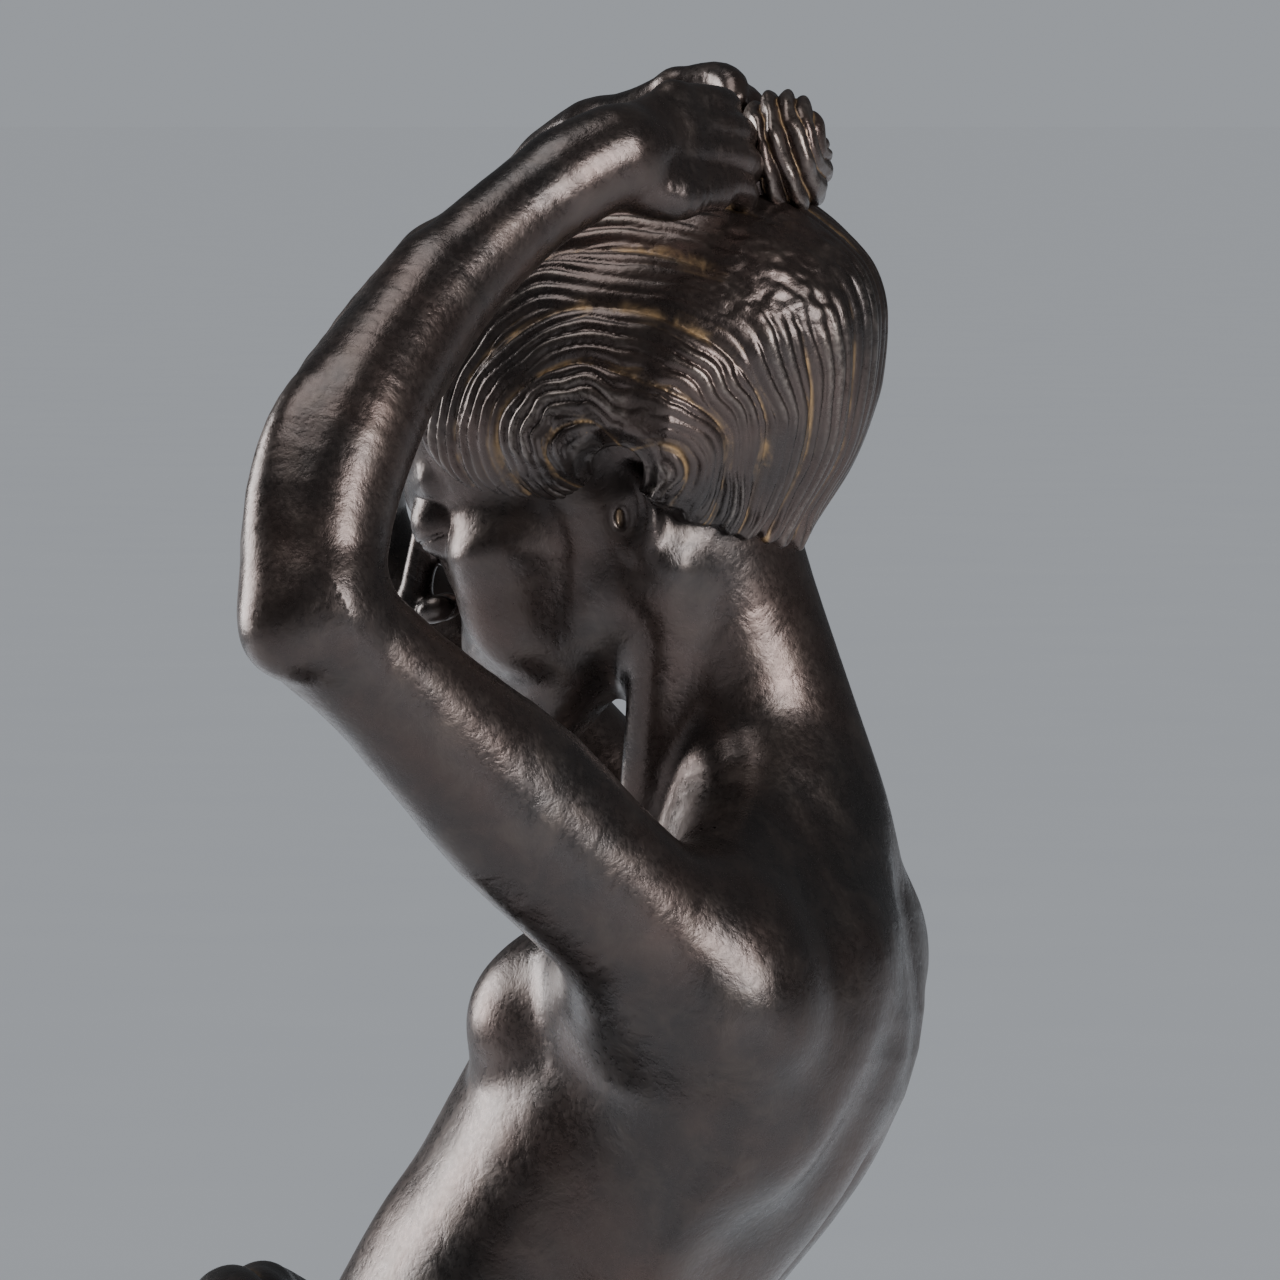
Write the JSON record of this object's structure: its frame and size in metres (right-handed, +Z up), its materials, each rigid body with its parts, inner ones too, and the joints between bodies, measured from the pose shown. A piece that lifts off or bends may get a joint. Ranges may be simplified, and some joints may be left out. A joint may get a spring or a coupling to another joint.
{
  "type": "bronze statuette",
  "caption": "Standing bronze bather gathering her hair with both raised hands, cloth round her hips, on a ground plate bolted to a round dark stone socle.",
  "frame": {"origin": "centre of the felt's underside, on the surface the statuette stands on", "axes": "+Z up; the figure faces -Y; her left side is +X"},
  "size_m": [0.128, 0.128, 0.38],
  "materials": {
    "bronze": "cast bronze under a dark brown patina, waxed, lighter brown where it wears and in the hollows of the hair",
    "steel": "plain zinc-plated steel hardware",
    "marble": "polished black-green marble with fine pale veins",
    "felt": "dark green wool felt, glued on"
  },
  "bodies": {
    "root": {"felt_pad": "felt", "marble_socle": "marble", "mounting_studs": "steel", "mounting_washers": "steel", "mounting_nuts": "steel", "ground_plate": "bronze", "foot_studs": "steel", "foot_nuts": "steel", "right_foot": "bronze", "left_foot": "bronze", "drapery": "bronze", "drapery_screws": "steel", "drapery_roll": "bronze", "drapery_tail": "bronze", "waist_pins": "bronze", "torso": "bronze", "neck_pins": "bronze", "head": "bronze", "hair_knot": "bronze", "knot_pin": "bronze", "left_arm": "bronze", "left_shoulder_pins": "bronze", "right_arm": "bronze", "right_shoulder_pins": "bronze", "hand_rivets": "bronze"}
  },
  "joints": []
}
